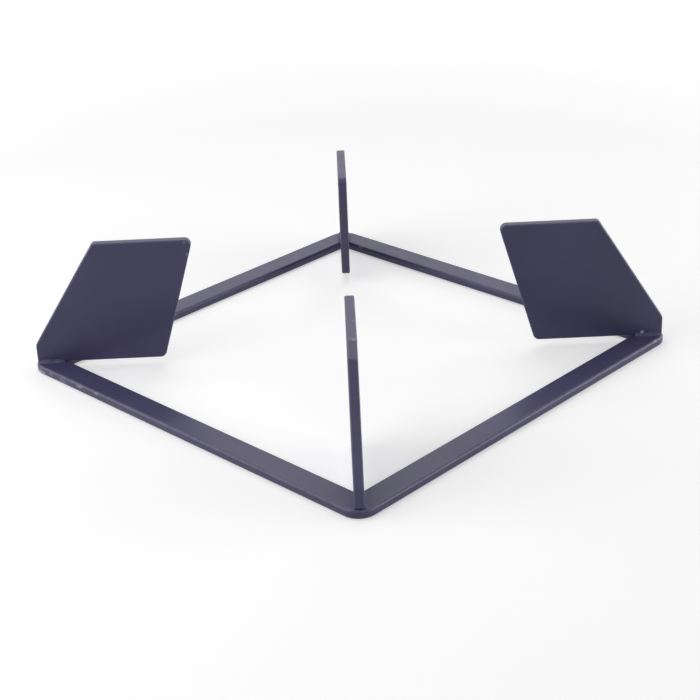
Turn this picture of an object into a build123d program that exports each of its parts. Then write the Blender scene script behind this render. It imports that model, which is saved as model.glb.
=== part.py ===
"""Pot stand for a gas hob: a flat square ring with four upright fins welded on its corners.

Millimetres. The origin is at the middle of the ring's underside, +Z is up and the ring's
sides run along X and Y, so the fins stand on the diagonals.
"""

import os
from math import sqrt

from build123d import *

# Ring: a square frame cut in one piece from flat steel plate
ring_side = 205.0
bar_width = 12.0
ring_thickness = 4.0
ring_corner_radius = 8.5
opening_corner_radius = 1.0

# Fins: plate blanks that stand on edge on the ring's corners and carry the pot
fin_thickness = 4.0
fin_height = 56.0
fin_foot_length = 57.5
fin_top_length = 44.0
fin_slope_run = 30.0
toe_height = 8.5
toe_setback = 0.7
top_inner_radius = 2.8
top_outer_radius = 1.8
foot_inner_radius = 3.0
toe_radius = 3.0

# Plate edges are rounded by tumbling before welding; the ring's underside is only deburred
edge_radius = 0.6
underside_chamfer = 0.4

# Fillet welds on both sides of each fin's foot
weld_leg = 1.5
weld_margin = 0.8

# Corner names, seen from the front (-Y), with the outward direction of each diagonal
up = Vector(0, 0, 1)
corners = {
    "front_right": Vector(1, -1, 0).normalized(),
    "rear_right": Vector(1, 1, 0).normalized(),
    "rear_left": Vector(-1, 1, 0).normalized(),
    "front_left": Vector(-1, -1, 0).normalized(),
}

# Distances from the centre along a diagonal
opening_side = ring_side - 2 * bar_width
corner_centre = (ring_side / 2 - ring_corner_radius) * sqrt(2)
ring_corner_reach = corner_centre + ring_corner_radius
opening_reach = opening_side / sqrt(2) - opening_corner_radius * (sqrt(2) - 1)
toe = ring_corner_reach - toe_setback
foot_inner = toe - fin_foot_length
top_outer = toe - fin_slope_run
top_inner = top_outer - fin_top_length

# The weld covers the length of foot that stands on the ring, less a margin at both ends
weld_middle = (toe + opening_reach) / 2
weld_straight = toe - opening_reach - 2 * (weld_margin + weld_leg)


def fin_plane(outward):
    """Upright middle plane of a fin: local X runs outwards, local Y up from the ring's top."""
    return Plane(origin=up * ring_thickness, x_dir=outward, z_dir=outward.cross(up))


def weld_plane(outward):
    """Upright plane across a fin's foot: local X runs sideways from the fin, local Y up."""
    middle = outward * weld_middle + up * ring_thickness
    return Plane(origin=middle, x_dir=up.cross(outward), z_dir=outward)


os.makedirs("parts", exist_ok=True)

# Ring
with BuildPart() as ring:
    with BuildSketch():
        RectangleRounded(ring_side, ring_side, ring_corner_radius)
        RectangleRounded(opening_side, opening_side, opening_corner_radius, mode=Mode.SUBTRACT)
    extrude(amount=ring_thickness)
    fillet(ring.faces().sort_by(Axis.Z)[-1].edges(), edge_radius)
    chamfer(ring.faces().sort_by(Axis.Z)[0].edges(), underside_chamfer)
ring.part.label = "ring"
export_step(ring.part, "parts/ring.step")

# Fins, one on each diagonal
for corner, outward in corners.items():
    with BuildPart() as fin:
        with BuildSketch(fin_plane(outward)) as blank:
            with BuildLine():
                Polyline(
                    (foot_inner, 0),
                    (toe, 0),
                    (toe, toe_height),
                    (top_outer, fin_height),
                    (top_inner, fin_height),
                    close=True,
                )
            make_face()
            fillet(blank.vertices().group_by(Axis.Y)[0].sort_by(Axis.X)[0], foot_inner_radius)
            fillet(blank.vertices().group_by(Axis.X)[-1].sort_by(Axis.Y)[-1], toe_radius)
            fillet(blank.vertices().group_by(Axis.Y)[-1].sort_by(Axis.X)[-1], top_outer_radius)
            fillet(blank.vertices().group_by(Axis.Y)[-1].sort_by(Axis.X)[0], top_inner_radius)
        extrude(amount=fin_thickness / 2, both=True)
        fillet(fin.faces().sort_by(SortBy.AREA)[-2:].edges(), edge_radius)
    fin.part.label = f"fin_{corner}"
    export_step(fin.part, f"parts/fin_{corner}.step")

# Weld beads: a mitre fillet that dies out in a rounded end, built as one quarter and
# mirrored to both ends of the run and to both sides of the fin
for corner, outward in corners.items():
    across = weld_plane(outward)
    fin_side = fin_thickness / 2
    run_end = across.from_local_coords(Vector(fin_side, 0, weld_straight / 2))
    with BuildPart() as weld:
        with BuildSketch(across):
            with BuildLine():
                Polyline(
                    (fin_side, weld_leg),
                    (fin_side, 0),
                    (fin_side + weld_leg, 0),
                    close=True,
                )
            make_face()
        extrude(amount=weld_straight / 2)
        end_face = weld.faces().sort_by(Axis(across.origin, outward))[-1]
        revolve(end_face, axis=Axis(run_end, -up), revolution_arc=90)
        mirror(about=across)
        mirror(about=fin_plane(outward))
    weld.part.label = f"weld_{corner}"
    export_step(weld.part, f"parts/weld_{corner}.step")
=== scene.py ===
# %% [markdown]
# # A welded pot stand for a gas hob
#
# The object is a flat square ring of steel plate. Four upright plate fins are welded on its
# corners, and a pot sits on their level tops, over the burner. The whole stand is coated in a
# dark violet-grey, satin, heat-proof paint. This lesson dresses the solids of the stand: each
# plate gets softly rounded edges, each foot gets a real weld bead, and one coating with its
# own scuffs and chips covers everything. Some of its lighter edges, shoulders and spots are
# painted highlights and glints, and the paint on the weld beads is a shade darker as painted shade.

# %% Load the frame
import math

import bmesh
import bpy
from mathutils import Matrix, Vector


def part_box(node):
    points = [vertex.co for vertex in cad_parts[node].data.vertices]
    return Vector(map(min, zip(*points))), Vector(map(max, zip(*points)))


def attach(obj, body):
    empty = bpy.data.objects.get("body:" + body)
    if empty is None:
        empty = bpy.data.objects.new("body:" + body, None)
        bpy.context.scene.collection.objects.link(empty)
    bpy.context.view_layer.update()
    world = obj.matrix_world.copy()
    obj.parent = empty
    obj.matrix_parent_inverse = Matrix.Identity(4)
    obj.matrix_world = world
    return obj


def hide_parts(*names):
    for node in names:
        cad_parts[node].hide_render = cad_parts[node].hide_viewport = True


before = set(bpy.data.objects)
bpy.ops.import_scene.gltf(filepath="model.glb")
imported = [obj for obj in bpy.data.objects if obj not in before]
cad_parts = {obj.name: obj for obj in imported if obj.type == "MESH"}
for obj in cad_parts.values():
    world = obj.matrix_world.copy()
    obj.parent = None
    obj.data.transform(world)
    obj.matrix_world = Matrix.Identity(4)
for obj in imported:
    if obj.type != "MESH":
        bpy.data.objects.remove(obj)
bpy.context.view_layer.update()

MM = 0.001
print("solids:", sorted(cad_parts))

# %% [markdown]
# ## Sizes
#
# Most sizes can be read from the solids. The ring's box gives its side and its thickness. A
# fin stands on a diagonal, so its box says little, but it can be measured along that diagonal:
# the toe is the point that reaches furthest out. The cut sizes that no box shows are written
# in millimetres, in the cell of the piece that needs them.

# %% Measure the solids
CORNERS = {"front_right": -45, "rear_right": 45, "rear_left": 135, "front_left": 225}
ring_side = 2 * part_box("ring")[1].x
ring_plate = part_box("ring")[1].z
stand_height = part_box("fin_front_right")[1].z
front_right = Vector((1, -1, 0)).normalized()
fin_points = [v.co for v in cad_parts["fin_front_right"].data.vertices]
toe = max(p.dot(front_right) for p in fin_points)
fin_plate = 2 * max(p.cross(front_right).z for p in fin_points)
for label, size in (("ring side", ring_side), ("fin plate", fin_plate), ("toe", toe)):
    print(f"{label}: {size / MM:.2f} mm")

# %% [markdown]
# ## Small helpers for node trees
#
# Geometry Nodes and materials are both trees of nodes. One function adds a node, sets its
# options and fills its inputs with values or with links. The others open a new Geometry Nodes
# tree with named inputs, empty the tree of a material or a world, and turn a colour as a
# painter writes it into the linear light that a shader wants.

# %% Helpers for node trees
def add(tree, kind, inputs=None, **options):
    """Adds a node; an input takes a value, a socket, a node for its first output, or a list of nodes."""
    made = tree.nodes.new(kind)
    for name, value in options.items():
        setattr(made, name, value)
    for key, value in (inputs or {}).items():
        sources = value if isinstance(value, list) else [value]
        for source in sources:
            if isinstance(source, bpy.types.Node):
                source = source.outputs[0]
            if isinstance(source, bpy.types.NodeSocket):
                tree.links.new(source, made.inputs[key])
            else:
                made.inputs[key].default_value = source
    return made


def new_tree(name, inputs):
    """A Geometry Nodes tree with these inputs; returns it with the outputs of its input node."""
    tree = bpy.data.node_groups.new(name, "GeometryNodeTree")
    tree.interface.new_socket("Geometry", in_out="OUTPUT", socket_type="NodeSocketGeometry")
    for label, kind in inputs.items():
        tree.interface.new_socket(label, in_out="INPUT", socket_type="NodeSocket" + kind)
    return tree, tree.nodes.new("NodeGroupInput").outputs


def emptied(owner):
    """The node tree of a material or a world, with nothing in it yet."""
    owner.use_nodes = True
    owner.node_tree.nodes.clear()
    return owner.node_tree


def linear(colour):
    """A colour written as sRGB hex, as linear RGBA."""
    parts = [int(colour[n : n + 2], 16) / 255 for n in (1, 3, 5)]
    return (*(c / 12.92 if c <= 0.04045 else ((c + 0.055) / 1.055) ** 2.4 for c in parts), 1.0)


# %% [markdown]
# ## The coating
#
# The stand is sprayed with a heat-proof paint and baked. What the eye gets is a dark
# violet-grey with a satin sheen: the film is not quite even, so it is a little lighter in one
# place than in another, and its surface has a very fine orange peel. On the rounded edges the
# film runs thin and looks greyer, and pots have rubbed the outer shoulder of each fin; this
# lighter colour on the edges and shoulders also stands in for their highlights, as painted
# highlight. Where the stand was knocked, the paint is gone and bare steel glints; a few more
# spots of the steel colour, on the welds and at a corner of the ring, are painted glints.
# A plain Principled shader does all this: the paint is a dielectric, the chips turn it metallic,
# and noise on Object coordinates gives the unevenness.

# %% Values of the coating
PAINT_DARK = "#423e5d"
PAINT_LIGHT = "#484466"
# The thinner film on edges and shoulders is greyer; this colour also paints their highlights
THIN_PAINT_AND_SHEEN = "#736f86"
# The weld's paint is a shade darker than the plate's: painted shade in the crease between fin and ring
WELD_DARK = "#3d3955"
WELD_LIGHT = "#45415d"
BARE_STEEL_AND_GLINT = "#bbb6c6"
paint_specular = 0.4
# From the smoothest to the roughest place; over weld metal the film dries duller
plate_roughness = (0.34, 0.42)
weld_roughness = (0.45, 0.60)
# Each noise is as coarse as the spots that it makes
MOTTLE = {"Scale": 1 / (30 * MM), "Detail": 3.0}
FILM = {"Scale": 1 / (7 * MM), "Detail": 2.0}
WEAR_AND_SHEEN = {"Scale": 1 / (3.5 * MM), "Detail": 4.0}
SPOT_NOISE = {"Scale": 1 / (1.2 * MM), "Detail": 3.0}
# Orange peel is really about 0.6 mm across; it is drawn coarser so that it shows
PEEL = {"Scale": 1 / (1.6 * MM), "Detail": 1.0}
peel_depth = 0.012 * MM
# Noise stays near the middle of its range, so these levels of it count as none and as full
mottle_levels = (0.35, 0.65)
film_levels = (0.3, 0.7)
wear_and_sheen_levels = (0.3, 0.75)
print("coating from", PAINT_DARK, "to", PAINT_LIGHT)

# %% Values of the wear and of the painted highlights
# The most that the edges lighten, as thin film and as painted highlight
thinnest_film_and_sheen = 0.6
# Pots rub the end of a fin's top and the first millimetres of its slope, with a ragged border; that lighter
# patch is also a painted highlight at the slope's upper end
rubbed_and_sheen_height = (54.8 * MM, 55.4 * MM)
rubbed_and_sheen_reach = (109.0 * MM, 111.0 * MM)
rubbed_and_sheen_ragged = 3.0 * MM
# A chip is dull, scraped steel, with rests of paint in it; the same steel colour also paints a few glints
steel_glint = 0.35
# A knock, and a painted glint likewise, reaches from its border, at its full size, to a bare core; noise
# shifts that border
knock_and_glint_border = 1.0
knock_and_glint_core = 0.5
knock_and_glint_ragged = 1.3
# Knocks that took the paint off, and a few painted glints: place, size along each axis in mm, and how bare
# the steel is
KNOCKS_AND_GLINTS = [
    ((-93.5, -102.5, 1.6), (2.2, 1.2, 1.2), 0.8),
    ((-86.5, -102.5, 2.4), (2.0, 1.2, 0.8), 0.35),
    ((-78.5, -102.5, 2.0), (3.0, 1.0, 1.0), 0.2),
    ((-66.0, -102.4, 2.9), (1.8, 1.2, 0.8), 0.4),
    ((-54.5, -102.4, 3.2), (1.6, 1.2, 0.8), 0.25),
    # Painted highlight: a glint on the ring's window edge by the foot of the rear fin, in steel colour
    ((-79.3, 90.7, 3.8), (2.8, 1.0, 0.8), 0.35),
    ((-48.2, -51.0, 58.9), (0.9, 0.9, 1.0), 0.2),
    ((-47.7, -50.5, 53.2), (0.8, 0.8, 1.0), 0.25),
    ((67.2, -65.6, 59.9), (0.8, 0.8, 0.6), 0.3),
    ((79.0, -77.6, 59.9), (0.9, 0.9, 0.6), 0.3),
    # Painted highlight: a glint on the weld bead of the right fin, in steel colour
    ((94.6, 91.7, 5.6), (0.8, 0.8, 0.8), 0.7),
    # Painted highlight: the edge's light where it wraps round the ring's right corner, in steel colour
    ((102.0, 90.9, 3.7), (1.2, 1.4, 0.7), 0.3),
]
# Counts the knocks and the painted glints together
print("knocks:", len(KNOCKS_AND_GLINTS))


# %% Material: where the film is thin, with painted highlights on edges and shoulders
def thin_film(tree, where, film):
    """How much lighter the paint is: a thinner film on the edges that hands touch and on the shoulders of
    the fins that pots rub, which also paints the highlights of these edges and shoulders.
    """
    edge, rim, handled = (
        add(tree, "ShaderNodeAttribute", attribute_name=label).outputs["Fac"]
        for label in ("edge", "rim", "handled"))
    wear_and_sheen = add(tree, "ShaderNodeTexNoise", {"Vector": where, **WEAR_AND_SHEEN})
    thin_and_sheen = add(tree, "ShaderNodeMapRange", {
        "Value": wear_and_sheen, "From Min": wear_and_sheen_levels[0], "From Max": wear_and_sheen_levels[1], "To Max": thinnest_film_and_sheen})
    for share in (edge, handled):
        thin_and_sheen = add(tree, "ShaderNodeMath", {0: share, 1: thin_and_sheen}, operation="MULTIPLY")

    axes = add(tree, "ShaderNodeSeparateXYZ", {0: where}).outputs
    flat = add(tree, "ShaderNodeCombineXYZ", {"X": axes["X"], "Y": axes["Y"]})
    reach = add(tree, "ShaderNodeVectorMath", {0: flat}, operation="LENGTH").outputs["Value"]
    ragged = add(tree, "ShaderNodeMath", {0: film, 1: rubbed_and_sheen_ragged}, operation="MULTIPLY")
    height = add(tree, "ShaderNodeMath", {0: axes["Z"], 1: ragged}, operation="ADD")
    rubbed_and_sheen = rim
    for value, (begins, full) in ((height, rubbed_and_sheen_height), (reach, rubbed_and_sheen_reach)):
        share = add(tree, "ShaderNodeMapRange", {"Value": value, "From Min": begins, "From Max": full})
        rubbed_and_sheen = add(tree, "ShaderNodeMath", {0: rubbed_and_sheen, 1: share}, operation="MULTIPLY")
    return add(tree, "ShaderNodeMath", {0: thin_and_sheen, 1: rubbed_and_sheen}, operation="MAXIMUM")


# %% Material: where the steel is bare, and the painted glints
def bare_spots(tree, where):
    """How far a spot goes to the colour of steel: a knock is a small ellipsoid with a ragged border, and a
    few spots are painted glints.
    """
    spot_noise = add(tree, "ShaderNodeTexNoise", {"Vector": where, **SPOT_NOISE})
    border = add(tree, "ShaderNodeMapRange", {
        "Value": spot_noise, "To Min": -knock_and_glint_ragged, "To Max": knock_and_glint_ragged})
    bare_and_glint = 0.0
    for place, size, spot_share in KNOCKS_AND_GLINTS:
        local = add(tree, "ShaderNodeMapping", {
            "Vector": where, "Location": tuple(x * MM for x in place),
            "Scale": tuple(x * MM for x in size)}, vector_type="TEXTURE")
        away = add(tree, "ShaderNodeVectorMath", {0: local}, operation="LENGTH").outputs["Value"]
        away = add(tree, "ShaderNodeMath", {0: away, 1: border}, operation="ADD")
        hit = add(tree, "ShaderNodeMapRange", {
            "Value": away, "From Min": knock_and_glint_border, "From Max": knock_and_glint_core, "To Max": spot_share})
        bare_and_glint = add(tree, "ShaderNodeMath", {0: bare_and_glint, 1: hit}, operation="MAXIMUM")
    return bare_and_glint


# %% Material: satin heat-proof paint on steel
def paint(name, dark, light, roughness):
    """Baked satin paint over steel, lighter along the edges and at the shoulders, where the film is thinner
    and a highlight is painted, and chipped, with a few painted glints.
    """
    material = bpy.data.materials.new(name)
    tree = emptied(material)
    where = add(tree, "ShaderNodeTexCoord").outputs["Object"]
    mottle, film, peel = (
        add(tree, "ShaderNodeTexNoise", {"Vector": where, **noise}) for noise in (MOTTLE, FILM, PEEL))
    thin_and_sheen = thin_film(tree, where, film)
    bare_and_glint = bare_spots(tree, where)

    shade = add(tree, "ShaderNodeMapRange", {
        "Value": mottle, "From Min": mottle_levels[0], "From Max": mottle_levels[1]})
    colour = linear(dark)
    # The thin film's colour also paints highlights on edges and shoulders, and the steel colour paints
    # glints as well as chips
    for share, other in ((shade, light), (thin_and_sheen, THIN_PAINT_AND_SHEEN), (bare_and_glint, BARE_STEEL_AND_GLINT)):
        blend = add(tree, "ShaderNodeMix", {
            "Factor": share, "A": colour, "B": linear(other)}, data_type="RGBA")
        colour = blend.outputs["Result"]
    rough = add(tree, "ShaderNodeMapRange", {
        "Value": film, "From Min": film_levels[0], "From Max": film_levels[1],
        "To Min": roughness[0], "To Max": roughness[1]})
    glint = add(tree, "ShaderNodeMath", {0: bare_and_glint, 1: steel_glint}, operation="MULTIPLY")
    bump = add(tree, "ShaderNodeBump", {"Height": peel, "Strength": 1.0, "Distance": peel_depth})
    shader = add(tree, "ShaderNodeBsdfPrincipled", {
        "Base Color": colour, "Metallic": glint, "Roughness": rough,
        "Specular IOR Level": paint_specular, "Normal": bump})
    add(tree, "ShaderNodeOutputMaterial", {"Surface": shader})
    print(name, "has", len(tree.nodes), "nodes")
    return material


plate_paint = paint("satin_paint_on_steel_plate", PAINT_DARK, PAINT_LIGHT, plate_roughness)
# The weld's darker colours paint shade into the crease between fin and ring
weld_paint = paint("satin_paint_on_weld_metal", WELD_DARK, WELD_LIGHT, weld_roughness)

# %% [markdown]
# ## The plate with rounded edges
#
# The ring and the fins are all cut from 4 mm plate, and tumbling has rounded their edges. A
# Bevel modifier could round them, but here the rule is simple enough to say in nodes: a small
# edge section, with two quarter rounds, is swept along the outline, and the two flat faces
# are filled in. The section also carries two attributes for the coating to read: edge is 1 on
# the rounding and 0 on the flats, and rim is 1 on the narrow side of the plate.

# %% Geometry Nodes group: the section of an edge
# The section begins on the flat, a little before the rounding
lip_share = 1.1
plate_tree, given = new_tree("plate_with_rounded_edges", {
    "Outline": "Geometry", "Thickness": "Float", "Edge Radius": "Float", "Arc Steps": "Int"})
half = add(plate_tree, "ShaderNodeMath", {0: given["Thickness"], 1: 0.5}, operation="MULTIPLY")
down = add(plate_tree, "ShaderNodeMath", {0: half, 1: -1.0}, operation="MULTIPLY")
inset = add(plate_tree, "ShaderNodeMath", {0: given["Edge Radius"], 1: -1.0}, operation="MULTIPLY")
start = add(plate_tree, "ShaderNodeMath", {0: inset, 1: lip_share}, operation="MULTIPLY")
section = add(plate_tree, "GeometryNodeCurvePrimitiveQuadrilateral", {
    "Point 1": add(plate_tree, "ShaderNodeCombineXYZ", {"X": start, "Y": half}),
    "Point 2": add(plate_tree, "ShaderNodeCombineXYZ", {"Y": half}),
    "Point 3": add(plate_tree, "ShaderNodeCombineXYZ", {"Y": down}),
    "Point 4": add(plate_tree, "ShaderNodeCombineXYZ", {"X": start, "Y": down}),
}, mode="POINTS")
section = add(plate_tree, "GeometryNodeSetSplineCyclic", {"Geometry": section, "Cyclic": False})
section = add(plate_tree, "GeometryNodeFilletCurve", {
    "Curve": section, "Count": given["Arc Steps"], "Radius": given["Edge Radius"]}, mode="POLY")
print("section of an edge:", len(plate_tree.nodes), "nodes")

# %% Geometry Nodes group: mark the rounding and the rim
# The rounding is where the section is near both the side and a face of the plate. In its middle
# both shares are about 0.7, so that twice their product is 1 there
edge_gain = 2.0
place = add(plate_tree, "ShaderNodeSeparateXYZ", {0: add(plate_tree, "GeometryNodeInputPosition")})
near_side = add(plate_tree, "ShaderNodeMapRange", {
    "Value": place.outputs["X"], "From Min": inset, "From Max": 0.0})
level = add(plate_tree, "ShaderNodeMath", {0: place.outputs["Y"]}, operation="ABSOLUTE")
arc_low = add(plate_tree, "ShaderNodeMath", {0: half, 1: inset}, operation="ADD")
near_face = add(plate_tree, "ShaderNodeMapRange", {"Value": level, "From Min": arc_low, "From Max": half})
edge = add(plate_tree, "ShaderNodeMath", {0: near_side, 1: near_face}, operation="MULTIPLY")
edge = add(plate_tree, "ShaderNodeMath", {0: edge, 1: edge_gain}, operation="MULTIPLY")
for label, value in (("edge", edge), ("rim", near_side)):
    section = add(plate_tree, "GeometryNodeStoreNamedAttribute", {
        "Geometry": section, "Name": label, "Value": value}, data_type="FLOAT", domain="POINT")
    print("the section carries", label)

# %% Geometry Nodes group: sweep the section and fill the faces
# An edge with one face is open; inside a closed skin every edge has two
fewer_than_two = 1.5
same_point = 0.001 * MM
path = add(plate_tree, "GeometryNodeSetCurveNormal", {"Curve": given["Outline"]}, mode="Z_UP")
rim = add(plate_tree, "GeometryNodeCurveToMesh", {"Curve": path, "Profile Curve": section})
rim = add(plate_tree, "GeometryNodeFlipFaces", {"Mesh": rim})
faces_per_edge = add(plate_tree, "GeometryNodeInputMeshEdgeNeighbors")
is_open = add(plate_tree, "ShaderNodeMath", {0: faces_per_edge, 1: fewer_than_two}, operation="LESS_THAN")
spot = add(plate_tree, "ShaderNodeSeparateXYZ", {0: add(plate_tree, "GeometryNodeInputPosition")})
flats = []
for compare, lift in (("GREATER_THAN", half), ("LESS_THAN", down)):
    on_side = add(plate_tree, "ShaderNodeMath", {0: spot.outputs["Z"], 1: 0.0}, operation=compare)
    border = add(plate_tree, "FunctionNodeBooleanMath", {0: is_open, 1: on_side}, operation="AND")
    loop = add(plate_tree, "GeometryNodeMeshToCurve", {"Mesh": rim, "Selection": border})
    flat = add(plate_tree, "GeometryNodeFillCurve", {"Curve": loop}, mode="NGONS")
    flats.append(add(plate_tree, "GeometryNodeTransform", {
        "Geometry": flat, "Translation": add(plate_tree, "ShaderNodeCombineXYZ", {"Z": lift})}))
flats[1] = add(plate_tree, "GeometryNodeFlipFaces", {"Mesh": flats[1]})
solid = add(plate_tree, "GeometryNodeJoinGeometry", {"Geometry": [rim, *flats]})
solid = add(plate_tree, "GeometryNodeMergeByDistance", {"Geometry": solid, "Distance": same_point})
solid = add(plate_tree, "GeometryNodeSetShadeSmooth", {"Geometry": solid, "Shade Smooth": True})
add(plate_tree, "NodeGroupOutput", {0: solid})
print(plate_tree.name, "has", len(plate_tree.nodes), "nodes")

# %% [markdown]
# ## From a tree to a finished piece
#
# Every tree ends alike: its instances become real geometry, because an export drops instances,
# and the finish is put on. A modifier runs the tree. Its result is turned into a plain mesh and
# the modifier is taken off again, so that the piece is an ordinary object at the origin.
# Weighted normals are set on the way: they keep the large flats shading as flats while the
# narrow edges stay round.

# %% Helpers: end a tree, run it and keep a plain mesh
def end_of(tree, geometry, finish):
    """Ends a tree with real geometry that wears a finish."""
    real = add(tree, "GeometryNodeRealizeInstances", {"Geometry": geometry})
    coated = add(tree, "GeometryNodeSetMaterial", {"Geometry": real, "Material": finish})
    add(tree, "NodeGroupOutput", {0: coated})
    print(tree.name, "has", len(tree.nodes), "nodes")


def made_by(tree, name, values, *nodes, slot):
    """Runs a tree with these input values; the piece stands for the named nodes of the frame."""
    piece = bpy.data.objects.new(name, bpy.data.meshes.new(name))
    bpy.context.scene.collection.objects.link(piece)
    modifier = piece.modifiers.new("nodes", "NODES")
    modifier.node_group = tree
    for socket in tree.interface.items_tree:
        if socket.in_out == "INPUT":
            modifier[socket.identifier] = values[socket.name]
    piece.modifiers.new("weighted_normals", "WEIGHTED_NORMAL")
    depsgraph = bpy.context.evaluated_depsgraph_get()
    piece.data = bpy.data.meshes.new_from_object(
        piece.evaluated_get(depsgraph), preserve_all_data_layers=True, depsgraph=depsgraph)
    piece.modifiers.clear()
    shell = bmesh.new()
    shell.from_mesh(piece.data)
    open_edges = sum(not e.is_manifold for e in shell.edges)
    volume = shell.calc_volume(signed=True) / MM**3
    print(f"{name}: {len(shell.faces)} faces, {open_edges} open edges, {volume:.0f} mm3")
    shell.free()
    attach(piece, "root")
    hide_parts(*nodes)
    return piece


# %% [markdown]
# ## The ring
#
# The ring is one blank with a square window: nobody would weld it from four bars when a laser
# can cut it whole. Its outside corners are generous, the corners of the window are almost
# sharp. Two rounded squares make the outline. The inner one runs the other way round, so that
# the swept section looks into the steel on both.

# %% Sizes of the ring
bar_width = 12 * MM
outer_corner = 8.5 * MM
window_corner = 1.0 * MM
ring_edge = 1.25 * MM
arc_steps = 6
outer_steps = 12
window_steps = 5
# Hands and pots touch the outside of the ring far more than the window; the thinner film there also paints
# the highlight along the outer edges
outer_handled_and_sheen = 1.0
window_handled_and_sheen = 0.1
print(f"window: {(ring_side - 2 * bar_width) / MM:.2f} mm wide")

# %% Geometry Nodes: square ring
ring_tree, given = new_tree("square_ring", {
    "Side": "Float", "Bar Width": "Float", "Outer Corner": "Float", "Window Corner": "Float",
    "Thickness": "Float", "Edge Radius": "Float", "Arc Steps": "Int", "Finish": "Material"})
window = add(ring_tree, "ShaderNodeMath", {
    0: given["Bar Width"], 1: -2.0, 2: given["Side"]}, operation="MULTIPLY_ADD")
outlines = []
for side, radius, steps, touched in (
        (given["Side"], given["Outer Corner"], outer_steps, outer_handled_and_sheen),
        (window, given["Window Corner"], window_steps, window_handled_and_sheen)):
    square = add(ring_tree, "GeometryNodeCurvePrimitiveQuadrilateral", {
        "Width": side, "Height": side}, mode="RECTANGLE")
    square = add(ring_tree, "GeometryNodeFilletCurve", {
        "Curve": square, "Count": steps, "Radius": radius}, mode="POLY")
    outlines.append(add(ring_tree, "GeometryNodeStoreNamedAttribute", {
        "Geometry": square, "Name": "handled", "Value": touched}, data_type="FLOAT", domain="POINT"))
outlines[1] = add(ring_tree, "GeometryNodeReverseCurve", {"Curve": outlines[1]})
ring = add(ring_tree, "GeometryNodeGroup", node_tree=plate_tree, inputs={
    "Outline": add(ring_tree, "GeometryNodeJoinGeometry", {"Geometry": outlines}),
    "Thickness": given["Thickness"], "Edge Radius": given["Edge Radius"], "Arc Steps": given["Arc Steps"]})
lift = add(ring_tree, "ShaderNodeMath", {0: given["Thickness"], 1: 0.5}, operation="MULTIPLY")
ring = add(ring_tree, "GeometryNodeTransform", {
    "Geometry": ring, "Translation": add(ring_tree, "ShaderNodeCombineXYZ", {"Z": lift})})
end_of(ring_tree, ring, given["Finish"])

# %% Make the ring
made_by(ring_tree, "ring_plate", {
    "Side": ring_side, "Bar Width": bar_width, "Outer Corner": outer_corner, "Window Corner": window_corner,
    "Thickness": ring_plate, "Edge Radius": ring_edge, "Arc Steps": arc_steps, "Finish": plate_paint,
}, "ring", slot="coated_plate")

# %% [markdown]
# ## The fins
#
# A fin is a blank with five corners, each with its own radius: a foot, an upright toe over the
# ring's corner, a slope up to the level top that carries the pot, and an inner edge that leans
# out over the window. A curve circle with five points is bent to those corners, the corners
# are rounded, and the same plate group gives it its thickness. It is drawn lying down, then
# stood up and turned to its diagonal.

# %% Sizes of a fin
top_length = 44.0 * MM
foot_length = 57.5 * MM
slope_run = 30.0 * MM
toe_height = 8.5 * MM
fin_height = stand_height - ring_plate
fin_edge = 0.7 * MM
corner_steps = 8
# How much the fins' edges lighten, as thin film and as painted highlight
fin_handled_and_sheen = 0.5
# Distance from the middle and height over the ring, with the corner's radius
FIN_CORNERS = {
    "Foot Inner": (toe - foot_length, 0.0, 3.0 * MM),
    "Toe Foot": (toe, 0.0, 0.85 * MM),
    "Toe Top": (toe, toe_height, 3.0 * MM),
    "Top Outer": (toe - slope_run, fin_height, 1.8 * MM),
    "Top Inner": (toe - slope_run - top_length, fin_height, 2.8 * MM),
}
print(f"fin: {fin_height / MM:.2f} mm high")

# %% Geometry Nodes: fin on a corner
fin_inputs = {label: "Vector" for label in FIN_CORNERS}
fin_inputs.update({label + " Radius": "Float" for label in FIN_CORNERS})
fin_inputs.update({
    "Thickness": "Float", "Edge Radius": "Float", "Arc Steps": "Int",
    "Lift": "Float", "Turn": "Float", "Finish": "Material"})
fin_tree, given = new_tree("fin_on_corner", fin_inputs)
number = add(fin_tree, "GeometryNodeInputIndex")
choices = {}
for kind, ending in (("VECTOR", ""), ("FLOAT", " Radius")):
    choice = add(fin_tree, "GeometryNodeIndexSwitch", {"Index": number}, data_type=kind)
    while len(choice.index_switch_items) < len(FIN_CORNERS):
        choice.index_switch_items.new()
    for n, label in enumerate(FIN_CORNERS):
        fin_tree.links.new(given[label + ending], choice.inputs[str(n)])
    choices[kind] = choice
outline = add(fin_tree, "GeometryNodeCurvePrimitiveCircle", {"Resolution": len(FIN_CORNERS)}, mode="RADIUS")
outline = add(fin_tree, "GeometryNodeSetPosition", {"Geometry": outline, "Position": choices["VECTOR"]})
outline = add(fin_tree, "GeometryNodeFilletCurve", {
    "Curve": outline, "Count": corner_steps, "Radius": choices["FLOAT"]}, mode="POLY")
outline = add(fin_tree, "GeometryNodeStoreNamedAttribute", {
    "Geometry": outline, "Name": "handled", "Value": fin_handled_and_sheen}, data_type="FLOAT", domain="POINT")
fin = add(fin_tree, "GeometryNodeGroup", node_tree=plate_tree, inputs={
    "Outline": outline, "Thickness": given["Thickness"],
    "Edge Radius": given["Edge Radius"], "Arc Steps": given["Arc Steps"]})
stand_up = add(fin_tree, "ShaderNodeCombineXYZ", {"X": math.radians(90), "Z": given["Turn"]})
fin = add(fin_tree, "GeometryNodeTransform", {
    "Geometry": fin, "Rotation": stand_up,
    "Translation": add(fin_tree, "ShaderNodeCombineXYZ", {"Z": given["Lift"]})})
end_of(fin_tree, fin, given["Finish"])

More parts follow.
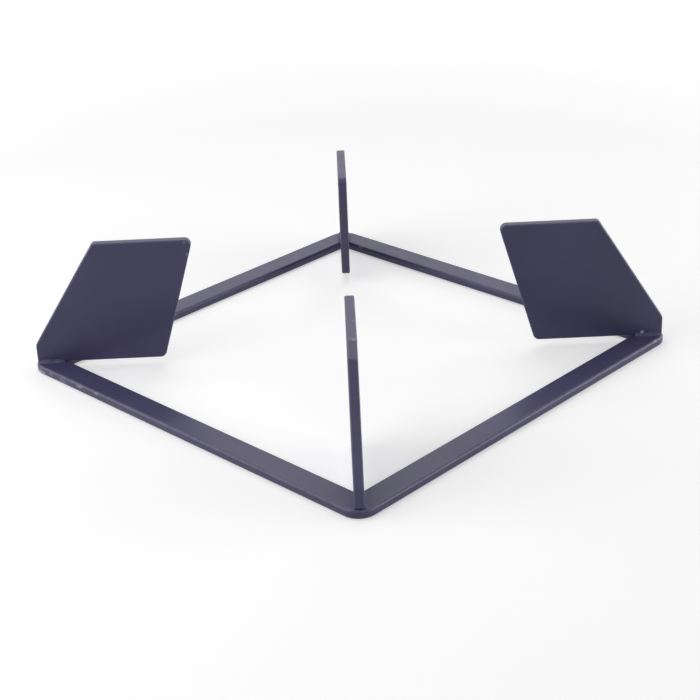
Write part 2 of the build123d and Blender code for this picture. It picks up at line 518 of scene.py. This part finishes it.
# %% Make the fins
for corner, degrees in CORNERS.items():
    values = {"Thickness": fin_plate, "Edge Radius": fin_edge, "Arc Steps": arc_steps,
              "Lift": ring_plate, "Turn": math.radians(degrees), "Finish": plate_paint}
    for label, (away, up, radius) in FIN_CORNERS.items():
        values[label] = (away, up, 0.0)
        values[label + " Radius"] = radius
    made_by(fin_tree, f"fin_plate_{corner}", values, f"fin_{corner}", slot="coated_plate")

# %% [markdown]
# ## The weld beads
#
# Two short fillet welds hold each fin, one in each corner between its foot and the ring. A
# bead is a row of overlapping drops that froze one after the other, so it is ribbed across,
# and it swells and dies away at its ends. It could be sculpted, but it follows a rule: a
# rounded section is swept along a short line, and its size follows the ribs. Bending the
# swept mesh back, away from the corner, turns the ribs into the crescents that a welder
# leaves. The paint fills the ribs, so they are low, and the bead looks smooth from afar.

# %% Measure a weld
weld_points = [v.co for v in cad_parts["weld_front_right"].data.vertices]
weld_reach = [p.dot(front_right) for p in weld_points]
weld_run = max(weld_reach) - min(weld_reach)
weld_middle = (max(weld_reach) + min(weld_reach)) / 2
weld_leg = max(p.z for p in weld_points) - ring_plate
weld_taper = 3.0 * MM
rib_pitch = 1.15 * MM
# How much a rib swells the section, and how far it bends back
rib_height = 0.025
rib_crescent = 0.35
print(f"weld: {weld_run / MM:.2f} mm long, {weld_leg / MM:.2f} mm leg, {weld_middle / MM:.2f} mm out")

# %% Geometry Nodes: the ribs of a bead
# A hand's bead wanders slowly between these shares of its full size, each corner in its own way
wander_pace = 0.4
wander_levels = (0.3, 0.7)
wander_sizes = (0.80, 0.98)
seed_stride = 10.0
weld_tree, given = new_tree("fillet_welds", {
    "Run": "Float", "Leg": "Float", "Taper": "Float", "Rib Pitch": "Float", "Rib Height": "Float",
    "Crescent": "Float", "Fin Thickness": "Float", "Away": "Float", "Lift": "Float", "Turn": "Float",
    "Seed": "Int", "Finish": "Material"})
along = add(weld_tree, "GeometryNodeSplineParameter").outputs["Length"]
beat = add(weld_tree, "ShaderNodeMath", {0: along, 1: given["Rib Pitch"]}, operation="DIVIDE")
phase = add(weld_tree, "ShaderNodeMath", {0: beat}, operation="FRACT")
half_turn = add(weld_tree, "ShaderNodeMath", {0: phase, 1: math.pi}, operation="MULTIPLY")
hump = add(weld_tree, "ShaderNodeMath", {0: half_turn}, operation="SINE")
hump = add(weld_tree, "ShaderNodeMath", {0: hump, 1: given["Rib Height"]}, operation="MULTIPLY")
place = add(weld_tree, "ShaderNodeMath", {
    0: given["Seed"], 1: seed_stride, 2: beat}, operation="MULTIPLY_ADD")
wander = add(weld_tree, "ShaderNodeTexNoise", {
    "W": place, "Scale": wander_pace, "Detail": 1.0}, noise_dimensions="1D")
uneven = add(weld_tree, "ShaderNodeMapRange", {
    "Value": wander, "From Min": wander_levels[0], "From Max": wander_levels[1],
    "To Min": wander_sizes[0], "To Max": wander_sizes[1]})
swell = add(weld_tree, "ShaderNodeMath", {0: hump, 1: uneven}, operation="ADD")
print("ribs of a bead:", len(weld_tree.nodes), "nodes")

# %% Geometry Nodes: the ends of a bead
# A long quarter round at each end of the run. Its radius has a square a little over 1, so that
# the bead ends in a small face and not in a point
radius_square = 1.02
to_end = add(weld_tree, "ShaderNodeMath", {0: given["Run"], 1: along}, operation="SUBTRACT")
to_end = add(weld_tree, "ShaderNodeMath", {0: to_end, 1: along}, operation="MINIMUM")
share = add(weld_tree, "ShaderNodeMath", {0: to_end, 1: given["Taper"]}, operation="DIVIDE", use_clamp=True)
rest = add(weld_tree, "ShaderNodeMath", {0: 1.0, 1: share}, operation="SUBTRACT")
fade = add(weld_tree, "ShaderNodeMath", {0: rest, 1: rest}, operation="MULTIPLY")
fade = add(weld_tree, "ShaderNodeMath", {0: radius_square, 1: fade}, operation="SUBTRACT")
fade = add(weld_tree, "ShaderNodeMath", {0: fade}, operation="SQRT")
swell = add(weld_tree, "ShaderNodeMath", {0: swell, 1: fade}, operation="MULTIPLY")
print(f"a bead ends at {math.sqrt(radius_square - 1):.2f} of its size")

# %% Geometry Nodes: the section of a bead, swept
# Along this line a section's Y axis points down, so the bead rises towards minus Y. Three of its
# corners lie inside the steel, so that the bead runs out of the fin and into the ring without a gap
SECTION_SHARES = {
    "hidden": -0.5, "low": 0.5, "rise": -1.4, "foot": 1.4, "crown": 0.56, "top": -0.56, "soft": 0.15}
section_steps = 4
line_points = 110
part = {
    label: add(weld_tree, "ShaderNodeMath", {0: given["Leg"], 1: share}, operation="MULTIPLY")
    for label, share in SECTION_SHARES.items()}
bead_section = add(weld_tree, "GeometryNodeCurvePrimitiveQuadrilateral", {
    "Point 1": add(weld_tree, "ShaderNodeCombineXYZ", {"X": part["hidden"], "Y": part["low"]}),
    "Point 2": add(weld_tree, "ShaderNodeCombineXYZ", {"X": part["hidden"], "Y": part["rise"]}),
    "Point 3": add(weld_tree, "ShaderNodeCombineXYZ", {"X": part["crown"], "Y": part["top"]}),
    "Point 4": add(weld_tree, "ShaderNodeCombineXYZ", {"X": part["foot"], "Y": part["low"]}),
}, mode="POINTS")
bead_section = add(weld_tree, "GeometryNodeFilletCurve", {
    "Curve": bead_section, "Count": section_steps, "Radius": part["soft"], "Limit Radius": True,
}, mode="POLY")
half_run = add(weld_tree, "ShaderNodeMath", {0: given["Run"], 1: 0.5}, operation="MULTIPLY")
other_half = add(weld_tree, "ShaderNodeMath", {0: given["Run"], 1: -0.5}, operation="MULTIPLY")
line = add(weld_tree, "GeometryNodeCurvePrimitiveLine", {
    "Start": add(weld_tree, "ShaderNodeCombineXYZ", {"X": half_run}),
    "End": add(weld_tree, "ShaderNodeCombineXYZ", {"X": other_half})}, mode="POINTS")
line = add(weld_tree, "GeometryNodeResampleCurve", {"Curve": line, "Count": line_points}, mode="COUNT")
line = add(weld_tree, "GeometryNodeSetCurveNormal", {"Curve": line}, mode="Z_UP")
bead = add(weld_tree, "GeometryNodeCurveToMesh", {
    "Curve": line, "Profile Curve": bead_section, "Scale": swell, "Fill Caps": True})
print("a bead is swept through", line_points, "points")

# %% Geometry Nodes: two beads, set on a corner
# The ribs bend back with the square of their distance from the corner
spot = add(weld_tree, "ShaderNodeSeparateXYZ", {0: add(weld_tree, "GeometryNodeInputPosition")})
flat_spot = add(weld_tree, "ShaderNodeCombineXYZ", {"Y": spot.outputs["Y"], "Z": spot.outputs["Z"]})
square = add(weld_tree, "ShaderNodeVectorMath", {0: flat_spot, 1: flat_spot}, operation="DOT_PRODUCT")
bend = add(weld_tree, "ShaderNodeMath", {0: square.outputs["Value"], 1: given["Leg"]}, operation="DIVIDE")
bend = add(weld_tree, "ShaderNodeMath", {0: bend, 1: given["Crescent"]}, operation="MULTIPLY")
bead = add(weld_tree, "GeometryNodeSetPosition", {
    "Geometry": bead, "Offset": add(weld_tree, "ShaderNodeCombineXYZ", {"X": bend})})
fin_side = add(weld_tree, "ShaderNodeMath", {0: given["Fin Thickness"], 1: 0.5}, operation="MULTIPLY")
bead = add(weld_tree, "GeometryNodeTransform", {
    "Geometry": bead, "Translation": add(weld_tree, "ShaderNodeCombineXYZ", {"Y": fin_side})})
twin = add(weld_tree, "GeometryNodeTransform", {"Geometry": bead, "Rotation": (0.0, 0.0, math.pi)})
weld = add(weld_tree, "GeometryNodeJoinGeometry", {"Geometry": [bead, twin]})
weld = add(weld_tree, "GeometryNodeTransform", {"Geometry": weld, "Translation": add(
    weld_tree, "ShaderNodeCombineXYZ", {"X": given["Away"], "Z": given["Lift"]})})
weld = add(weld_tree, "GeometryNodeTransform", {
    "Geometry": weld, "Rotation": add(weld_tree, "ShaderNodeCombineXYZ", {"Z": given["Turn"]})})
weld = add(weld_tree, "GeometryNodeSetShadeSmooth", {"Geometry": weld, "Shade Smooth": True})
end_of(weld_tree, weld, given["Finish"])

# %% Make the welds
for seed, (corner, degrees) in enumerate(CORNERS.items()):
    made_by(weld_tree, f"weld_beads_{corner}", {
        "Run": weld_run, "Leg": weld_leg, "Taper": weld_taper, "Rib Pitch": rib_pitch,
        "Rib Height": rib_height, "Crescent": rib_crescent, "Fin Thickness": fin_plate,
        "Away": weld_middle, "Lift": ring_plate, "Turn": math.radians(degrees),
        "Seed": seed, "Finish": weld_paint,
    }, f"weld_{corner}", slot="coated_weld")

# %% [markdown]
# ## Floor, light and camera
#
# The stand is shown on a plain white floor. The floor and the world are made white for the
# camera and for reflections with a Light Path node, so that the lamps can stay at a level where
# a colour renders about as it is written, and the floor still keeps the stand's soft shadow.

# %% Helper: what is seen directly
def seen_directly(tree):
    """1 for what the camera sees, straight, mirrored or through something clear, and 0 for other light."""
    rays = add(tree, "ShaderNodeLightPath").outputs
    seen = rays["Is Camera Ray"]
    for other in ("Is Glossy Ray", "Is Transmission Ray"):
        seen = add(tree, "ShaderNodeMath", {0: seen, 1: rays[other]}, operation="MAXIMUM")
    return seen


# %% Floor
floor_half = 3.0
# Matt white paint: even and without a sheen, so that only the soft shadow shows on it
FLOOR_GREY = "#e6e6e6"
WHITE = "#ffffff"
# Near the stand the lamps light the floor; far from it the floor shows the white by itself
lit_reach = 0.35
backdrop_reach = 1.3
near_glow = 0.42
far_glow = 1.0
floor_corners = [(x * floor_half, y * floor_half, 0.0) for x, y in ((-1, -1), (1, -1), (1, 1), (-1, 1))]
floor_mesh = bpy.data.meshes.new("floor")
floor_mesh.from_pydata(floor_corners, [], [(0, 1, 2, 3)])
floor = bpy.data.objects.new("floor", floor_mesh)
bpy.context.scene.collection.objects.link(floor)
floor_paint = bpy.data.materials.new("matt_white_studio_floor")
tree = emptied(floor_paint)
spot = add(tree, "ShaderNodeTexCoord").outputs["Object"]
away = add(tree, "ShaderNodeVectorMath", {0: spot}, operation="LENGTH").outputs["Value"]
glow = add(tree, "ShaderNodeMapRange", {
    "Value": away, "From Min": lit_reach, "From Max": backdrop_reach,
    "To Min": near_glow, "To Max": far_glow})
glow = add(tree, "ShaderNodeMath", {0: seen_directly(tree), 1: glow}, operation="MULTIPLY")
glow = add(tree, "ShaderNodeEmission", {"Color": linear(WHITE), "Strength": glow})
matt = add(tree, "ShaderNodeBsdfDiffuse", {"Color": linear(FLOOR_GREY)})
lit = add(tree, "ShaderNodeAddShader", {0: matt, 1: glow})
add(tree, "ShaderNodeOutputMaterial", {"Surface": lit})
floor_mesh.materials.append(floor_paint)
print("floor:", 2 * floor_half, "m wide")

# %% World
world = bpy.data.worlds.new("white_studio")
bpy.context.scene.world = world
tree = emptied(world)
sky = add(tree, "ShaderNodeBackground", {"Color": linear(WHITE), "Strength": seen_directly(tree)})
add(tree, "ShaderNodeOutputWorld", {"Surface": sky})
print("world:", world.name)

# %% Lamps
# Place and size in metres, and watts
LAMPS = {
    "overhead": ((0.00, 0.00, 1.10), (0.9, 0.9), 1.1),
    "overhead_back": ((-0.40, 0.40, 1.00), (0.8, 0.8), 3.6),
    "left_low": ((-0.70, -0.70, 0.36), (1.2, 0.70), 1.8),
    "right_low": ((0.72, 0.68, 0.26), (1.2, 0.45), 6.4),
    "front_left": ((-0.25, -0.50, 0.38), (0.8, 0.7), 2.5),
    "front_high": ((0.80, -0.80, 0.90), (0.8, 0.8), 1.4),
    "back_low": ((-1.00, 1.00, 0.45), (1.6, 0.3), 0.5),
}
for name, (place, (width, height), watts) in LAMPS.items():
    lamp = bpy.data.objects.new(name, bpy.data.lights.new(name, "AREA"))
    lamp.data.shape = "RECTANGLE"
    lamp.data.size = width
    lamp.data.size_y = height
    lamp.data.energy = watts
    lamp.location = place
    lamp.rotation_euler = (-Vector(place)).to_track_quat("-Z", "Y").to_euler()
    bpy.context.scene.collection.objects.link(lamp)
print("lamps:", ", ".join(LAMPS))

# %% Camera
azimuth = math.radians(44.657)
elevation = math.radians(25.739)
roll = math.radians(-2.478)
distance = 715.49 * MM
aim_right = -0.18 * MM
aim_up = 2.06 * MM
focal_pixels = 1579.6
picture_pixels = 700
sensor = 36.0
level = math.cos(elevation)
back = Vector((math.sin(azimuth) * level, -math.cos(azimuth) * level, math.sin(elevation)))
right = Vector((math.cos(azimuth), math.sin(azimuth), 0))
up = back.cross(right)
camera = bpy.data.objects.new("camera", bpy.data.cameras.new("camera"))
camera.data.sensor_width = sensor
camera.data.lens = focal_pixels / picture_pixels * sensor
axes = Matrix((right, up, back)).transposed() @ Matrix.Rotation(roll, 3, "Z")
camera.matrix_world = Matrix.Translation(right * aim_right + up * aim_up + back * distance) @ axes.to_4x4()
bpy.context.scene.collection.objects.link(camera)
bpy.context.scene.camera = camera
bpy.context.scene.view_settings.view_transform = "Standard"
print(f"camera: {camera.data.lens:.1f} mm lens, {distance / MM:.0f} mm away")
